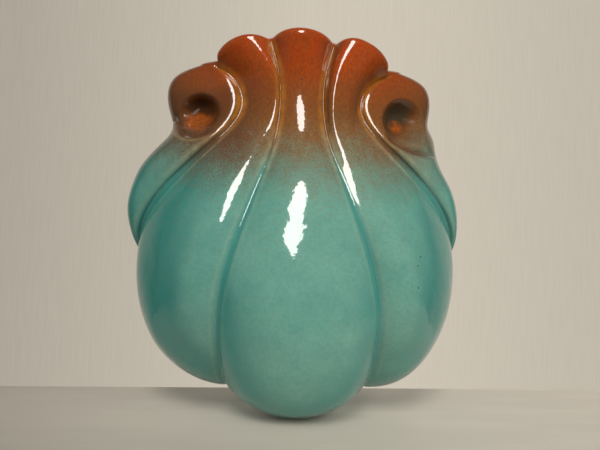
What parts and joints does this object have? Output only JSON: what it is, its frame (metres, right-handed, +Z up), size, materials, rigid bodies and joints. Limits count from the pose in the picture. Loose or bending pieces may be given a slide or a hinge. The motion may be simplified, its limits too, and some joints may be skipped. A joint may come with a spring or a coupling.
{
  "type": "wall pocket vase",
  "caption": "Glazed ceramic wall pocket vase: a lobed shell front with a scalloped rim and curled volutes at the shoulders, on a flat back with a hanging hole.",
  "frame": {"origin": "middle of the flat back face that lies on the wall, halfway up the vase", "axes": "+Y into the wall, +Z up, +X to the right of someone facing the vase, so the front faces -Y"},
  "size_m": [0.1836, 0.0679, 0.1983],
  "materials": {
    "glaze": "glossy turquoise that turns to speckled brown towards the rim",
    "back_glaze": "thin turquoise glaze over buff clay, worn to bare clay where it lies on the wall"
  },
  "bodies": {
    "root": {"front_shell": "glaze", "back_plate": "back_glaze"}
  },
  "joints": []
}
